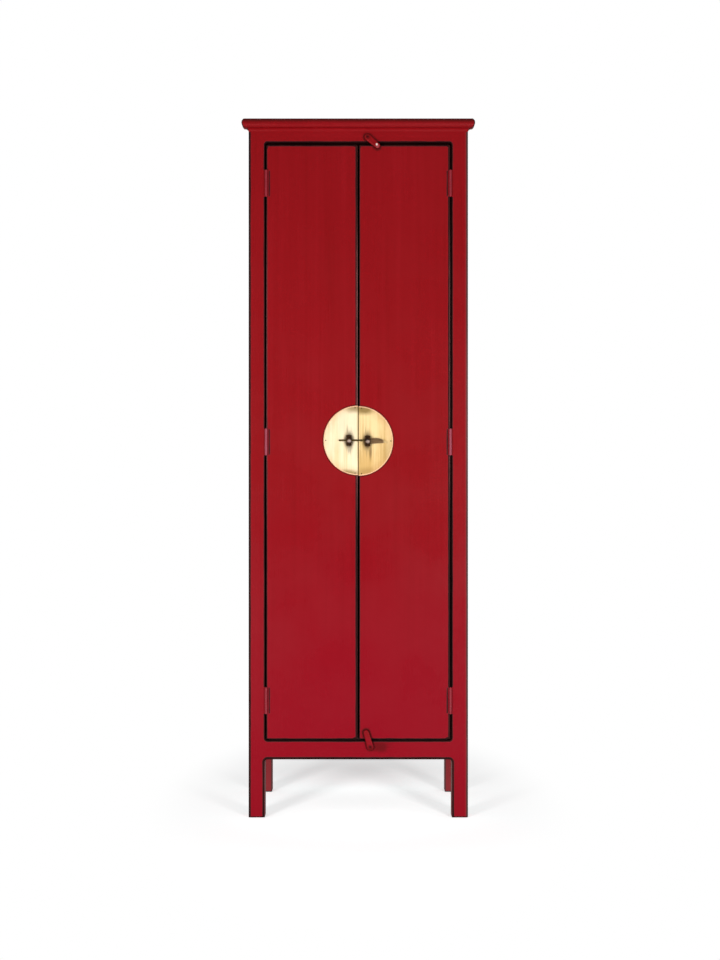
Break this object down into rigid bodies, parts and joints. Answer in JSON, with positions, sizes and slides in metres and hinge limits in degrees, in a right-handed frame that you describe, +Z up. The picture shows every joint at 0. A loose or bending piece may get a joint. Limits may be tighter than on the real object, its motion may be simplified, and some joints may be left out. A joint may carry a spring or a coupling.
{
  "type": "cabinet",
  "caption": "Tall narrow red lacquered cabinet with paired hinged doors, a round brass face plate with lock pin, wooden turn buttons, inner shelves and a moulded cap.",
  "frame": {"origin": "on the floor under the middle of the cabinet with its cap; the body over its legs lies 8.5 mm further back", "axes": "+Z up; the doors face -Y; +X to the right as seen from the front"},
  "size_m": [0.6, 0.383, 1.8],
  "materials": {
    "red_lacquer": "semi-gloss red lacquer with faint upright grain, rubbed through to black along the edges",
    "black_lacquer": "satin black lacquer on the inside",
    "brass": "brushed, lightly tarnished",
    "dark_brass": "dark aged brass",
    "painted_iron": "painted over in the cabinet's red, glossy"
  },
  "bodies": {
    "carcass": {"back_bottom_rail": "red_lacquer", "back_left_leg": "red_lacquer", "back_lower_panel": "red_lacquer", "back_middle_rail": "red_lacquer", "back_right_leg": "red_lacquer", "back_top_rail": "red_lacquer", "back_upper_panel": "red_lacquer", "bottom_board": "black_lacquer", "button_nails": "painted_iron", "cap_back": "red_lacquer", "cap_battens": "black_lacquer", "cap_front": "red_lacquer", "cap_left": "red_lacquer", "cap_panel": "red_lacquer", "cap_right": "red_lacquer", "frame_hinge_screws": "painted_iron", "front_bottom_rail": "red_lacquer", "front_left_leg": "red_lacquer", "front_right_leg": "red_lacquer", "front_top_rail": "red_lacquer", "left_bottom_rail": "red_lacquer", "left_hinge_pins": "painted_iron", "left_lower_hinge_frame_leaf": "painted_iron", "left_middle_hinge_frame_leaf": "painted_iron", "left_shelf_cleats": "black_lacquer", "left_side_panel": "red_lacquer", "left_top_rail": "red_lacquer", "left_upper_hinge_frame_leaf": "painted_iron", "right_bottom_rail": "red_lacquer", "right_hinge_pins": "painted_iron", "right_lower_hinge_frame_leaf": "painted_iron", "right_middle_hinge_frame_leaf": "painted_iron", "right_shelf_cleats": "black_lacquer", "right_side_panel": "red_lacquer", "right_top_rail": "red_lacquer", "right_upper_hinge_frame_leaf": "painted_iron", "shelf_lower": "black_lacquer", "shelf_middle": "black_lacquer", "shelf_upper": "black_lacquer"},
    "left_door": {"left_door_battens": "black_lacquer", "left_door_hinge_screws": "painted_iron", "left_door_panel": "red_lacquer", "left_eyelet": "dark_brass", "left_lower_hinge_door_leaf": "painted_iron", "left_middle_hinge_door_leaf": "painted_iron", "left_plate": "brass", "left_plate_nails": "dark_brass", "left_upper_hinge_door_leaf": "painted_iron"},
    "right_door": {"right_door_battens": "black_lacquer", "right_door_hinge_screws": "painted_iron", "right_door_panel": "red_lacquer", "right_eyelet": "dark_brass", "right_lower_hinge_door_leaf": "painted_iron", "right_middle_hinge_door_leaf": "painted_iron", "right_plate": "brass", "right_plate_nails": "dark_brass", "right_upper_hinge_door_leaf": "painted_iron"},
    "lock_pin": {"lock_pin": "dark_brass"},
    "top_turn_button": {"top_turn_button": "red_lacquer"},
    "bottom_turn_button": {"bottom_turn_button": "red_lacquer"}
  },
  "joints": [
    {"name": "left_door_hinge", "type": "hinge", "parent": "carcass", "child": "left_door", "pos_m": [-0.2375, -0.1785, 0.9685], "axis": [0, 0, -1], "range_deg": [0, 180]},
    {"name": "right_door_hinge", "type": "hinge", "parent": "carcass", "child": "right_door", "pos_m": [0.2375, -0.1785, 0.9685], "axis": [0, 0, 1], "range_deg": [0, 180]},
    {"name": "lock_pin_slide", "type": "slide", "parent": "right_door", "child": "lock_pin", "axis": [1, 0, 0], "range_m": [0, 0.06]},
    {"name": "top_turn_button_pivot", "type": "hinge", "parent": "carcass", "child": "top_turn_button", "pos_m": [0.024, -0.1799, 1.753], "axis": [0, -1, 0], "range_deg": [-139, 41]},
    {"name": "bottom_turn_button_pivot", "type": "hinge", "parent": "carcass", "child": "bottom_turn_button", "pos_m": [0.031, -0.1799, 0.183], "axis": [0, -1, 0], "continuous": true}
  ]
}
